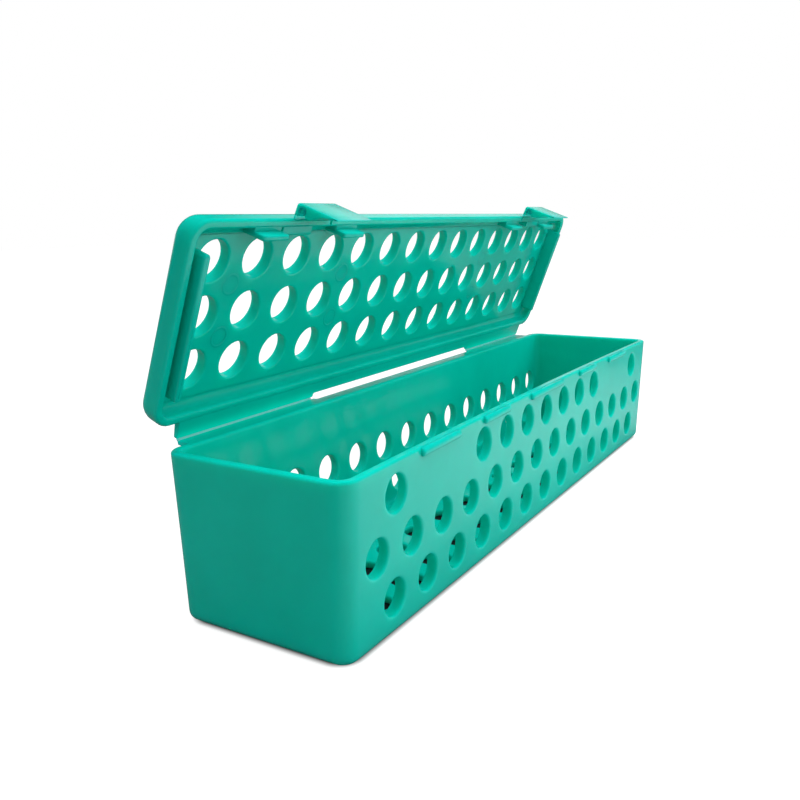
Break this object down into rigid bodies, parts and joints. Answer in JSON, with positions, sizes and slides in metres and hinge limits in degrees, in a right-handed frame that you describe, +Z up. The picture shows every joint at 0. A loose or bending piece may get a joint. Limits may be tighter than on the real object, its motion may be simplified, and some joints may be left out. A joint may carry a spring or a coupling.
{
  "type": "sterilization box",
  "caption": "Long perforated plastic instrument box with a deep tray, a shallow lid hinged along the back and snap latches at the front.",
  "frame": {"origin": "centre of the tray's flat underside", "axes": "+X along the box, +Y from the latches to the hinge, +Z up"},
  "size_m": [0.2036, 0.0559, 0.0898],
  "materials": {
    "teal_plastic": "satin, slightly translucent polypropylene"
  },
  "bodies": {
    "tray_body": {"tray": "teal_plastic", "hinge_web_left": "teal_plastic", "hinge_web_right": "teal_plastic"},
    "lid_body": {"lid": "teal_plastic", "latch_web_left": "teal_plastic", "latch_web_right": "teal_plastic"},
    "latch_left_body": {"latch_left": "teal_plastic"},
    "latch_right_body": {"latch_right": "teal_plastic"}
  },
  "joints": [
    {"name": "lid_hinge", "type": "hinge", "parent": "tray_body", "child": "lid_body", "pos_m": [0, 0.0274, 0.0386], "axis": [-1, 0, 0], "range_deg": [-69.3, 110.7]},
    {"name": "latch_left_hinge", "type": "hinge", "parent": "lid_body", "child": "latch_left_body", "pos_m": [-0.0644, 0.00979, 0.08676], "axis": [-1, 0, 0], "range_deg": [0, 90]},
    {"name": "latch_right_hinge", "type": "hinge", "parent": "lid_body", "child": "latch_right_body", "pos_m": [0.0644, 0.00979, 0.08676], "axis": [-1, 0, 0], "range_deg": [0, 90]}
  ]
}
